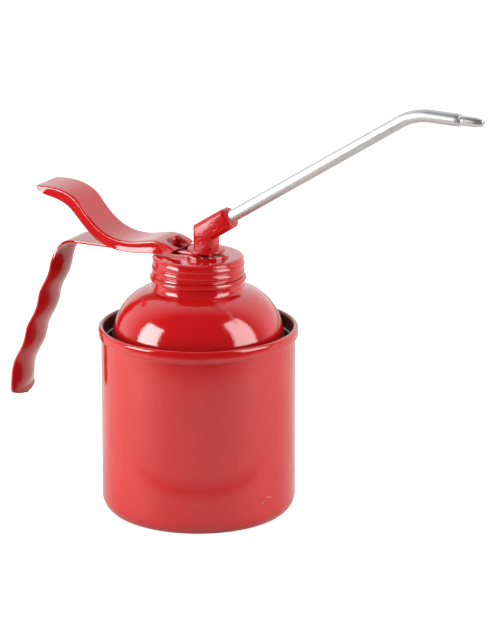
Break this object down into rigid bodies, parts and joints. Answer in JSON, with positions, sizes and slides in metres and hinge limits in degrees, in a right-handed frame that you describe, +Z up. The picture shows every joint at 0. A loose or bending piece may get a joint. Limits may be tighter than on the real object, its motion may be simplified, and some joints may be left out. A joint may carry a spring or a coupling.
{
  "type": "oil can",
  "caption": "Hand pump oil can with a drawn body and drip rim, domed shoulder, screw cap, finger grip, thumb lever and a long bent spout.",
  "frame": {"origin": "centre of the can's flat bottom, on the can's axis", "axes": "+Z up along the can's axis, +X towards the spout, finger grip towards -X, symmetric about the plane Y = 0"},
  "size_m": [0.2245, 0.0874, 0.1922],
  "materials": {
    "red_enamel": "gloss red stove enamel over drawn steel",
    "red_cast": "gloss red enamel over a pebbled die casting",
    "spout_metal": "bright zinc-plated drawn tube",
    "nozzle_metal": "turned, satin",
    "bright_steel": "bright",
    "spring_steel": "drawn wire",
    "pump_brass": "turned",
    "seal_rubber": "matte",
    "seal_leather": "oiled"
  },
  "bodies": {
    "can": {"can_body": "red_enamel", "dome_shoulder": "red_enamel", "threaded_neck": "red_enamel"},
    "cap_seal": {"cap_gasket": "seal_rubber"},
    "pump_head": {"screw_cap": "red_enamel", "finger_grip": "red_enamel", "lever_stud": "red_enamel", "gland_bush": "pump_brass", "rod_seal": "seal_rubber", "cylinder_gasket": "seal_rubber", "pump_cylinder": "pump_brass", "foot_valve_body": "pump_brass", "ball_stop": "bright_steel", "suction_tube": "bright_steel", "strainer": "pump_brass", "return_spring": "spring_steel"},
    "lever": {"thumb_lever": "red_enamel"},
    "plunger_slide": {"thrust_washer": "bright_steel", "piston_seal": "seal_leather"},
    "spout": {"spout_elbow": "red_cast", "spout_tube": "spout_metal", "nozzle_tip": "nozzle_metal", "plunger_tube": "bright_steel", "piston": "pump_brass", "outlet_spring": "spring_steel"},
    "inlet_valve": {"inlet_ball": "bright_steel"},
    "outlet_valve": {"outlet_ball": "bright_steel"}
  },
  "joints": [
    {"name": "cap_lift", "type": "slide", "parent": "can", "child": "cap_seal", "axis": [0, 0, 1], "range_m": [0, 0.00686]},
    {"name": "cap_turn", "type": "hinge", "parent": "cap_seal", "child": "pump_head", "pos_m": [0, 0, 0.11], "axis": [0, 0, 1], "range_deg": [0, 810]},
    {"name": "lever_press", "type": "hinge", "parent": "pump_head", "child": "lever", "pos_m": [-0.0305, 0, 0.11905], "axis": [0, -1, 0], "range_deg": [0, 9]},
    {"name": "plunger_lift", "type": "slide", "parent": "pump_head", "child": "plunger_slide", "axis": [0, 0, 1], "range_m": [0, 0.00543], "stiffness_N_per_m": 900, "springref_m": -0.009, "deforming": ["return_spring"]},
    {"name": "spout_swivel", "type": "hinge", "parent": "plunger_slide", "child": "spout", "pos_m": [0.0041, 0, 0.1183], "axis": [0, 0, 1], "continuous": true},
    {"name": "inlet_ball_lift", "type": "slide", "parent": "pump_head", "child": "inlet_valve", "axis": [0, 0, 1], "range_m": [0, 0.001]},
    {"name": "outlet_ball_lift", "type": "slide", "parent": "spout", "child": "outlet_valve", "axis": [0, 0, 1], "range_m": [0, 0.0009], "stiffness_N_per_m": 60, "springref_m": -0.001, "deforming": ["outlet_spring"]}
  ],
  "couplings": [
    {"joint": "cap_turn", "follows": "cap_lift", "rad_per_m": 2060.1},
    {"joint": "lever_press", "follows": "plunger_lift", "rad_per_m": 28.902}
  ]
}
